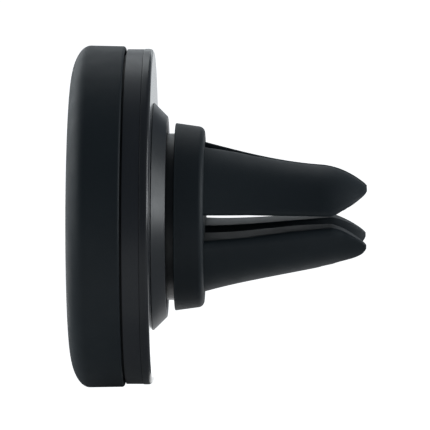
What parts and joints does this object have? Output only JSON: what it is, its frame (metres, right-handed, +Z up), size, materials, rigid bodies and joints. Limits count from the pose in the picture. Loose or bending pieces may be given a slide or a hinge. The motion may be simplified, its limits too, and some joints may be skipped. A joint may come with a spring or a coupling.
{
  "type": "car phone mount",
  "caption": "Round magnetic phone holder on a free swivel, with a rubber-covered pronged clip that grips a car air vent blade.",
  "frame": {"origin": "centre of the flat front face that the phone rests against", "axes": "+X along the swivel axis from the phone face to the prong tips, +Z up with the narrow blade slot level, +Y to the far side"},
  "size_m": [0.0363, 0.042, 0.042],
  "materials": {
    "cover_rubber": "soft-touch matte black rubber",
    "prong_rubber": "fine matte black rubber",
    "clip_rubber": "fine matte black rubber",
    "housing_satin": "satin black moulded plastic",
    "housing_gloss": "polished black plastic",
    "hub_gloss": "semi-gloss black plastic",
    "core_plastic": "satin black glass-filled plastic",
    "tray_plastic": "matte black plastic",
    "tape_foam": "grey foam tape",
    "magnet_nickel": "nickel plate",
    "yoke_steel": "zinc plated",
    "plate_steel": "stamped and tumbled",
    "spring_steel": "oiled spring steel",
    "screw_steel": "zinc plated",
    "washer_nylon": "natural nylon",
    "spine_nylon": "black nylon"
  },
  "bodies": {
    "clip": {"clip_core": "core_plastic", "retainer_disc": "plate_steel", "wave_washer": "spring_steel", "swivel_screw": "screw_steel", "collar": "clip_rubber"},
    "head": {"front_cover": "cover_rubber", "adhesive_disc": "tape_foam", "magnet_tray": "tray_plastic", "magnet_1": "magnet_nickel", "magnet_2": "magnet_nickel", "magnet_3": "magnet_nickel", "magnet_4": "magnet_nickel", "magnet_5": "magnet_nickel", "magnet_6": "magnet_nickel", "yoke_plate": "yoke_steel", "housing_ring": "housing_satin", "rear_plate": "housing_gloss", "hub_cone": "hub_gloss", "housing_screws": "screw_steel", "hub_screws": "screw_steel", "friction_washer": "washer_nylon"},
    "upper_near_body": {"prong_upper_near": "prong_rubber", "spine_upper_near": "spine_nylon"},
    "upper_far_body": {"prong_upper_far": "prong_rubber", "spine_upper_far": "spine_nylon"},
    "lower_near_body": {"prong_lower_near": "prong_rubber", "spine_lower_near": "spine_nylon"},
    "lower_far_body": {"prong_lower_far": "prong_rubber", "spine_lower_far": "spine_nylon"}
  },
  "joints": [
    {"name": "head_swivel", "type": "hinge", "parent": "clip", "child": "head", "pos_m": [0.0104, 0, 0], "axis": [1, 0, 0], "continuous": true},
    {"name": "upper_near_flex", "type": "hinge", "parent": "clip", "child": "upper_near_body", "pos_m": [0.014, -0.00481, 0.00481], "axis": [0, -0.7071, -0.7071], "range_deg": [0, 6], "stiffness_Nm_per_rad": 0.8},
    {"name": "upper_far_flex", "type": "hinge", "parent": "clip", "child": "upper_far_body", "pos_m": [0.014, 0.00481, 0.00481], "axis": [0, -0.7071, 0.7071], "range_deg": [0, 6], "stiffness_Nm_per_rad": 0.8},
    {"name": "lower_near_flex", "type": "hinge", "parent": "clip", "child": "lower_near_body", "pos_m": [0.014, -0.00481, -0.00481], "axis": [0, 0.7071, -0.7071], "range_deg": [0, 6], "stiffness_Nm_per_rad": 0.8},
    {"name": "lower_far_flex", "type": "hinge", "parent": "clip", "child": "lower_far_body", "pos_m": [0.014, 0.00481, -0.00481], "axis": [0, 0.7071, 0.7071], "range_deg": [0, 6], "stiffness_Nm_per_rad": 0.8}
  ]
}
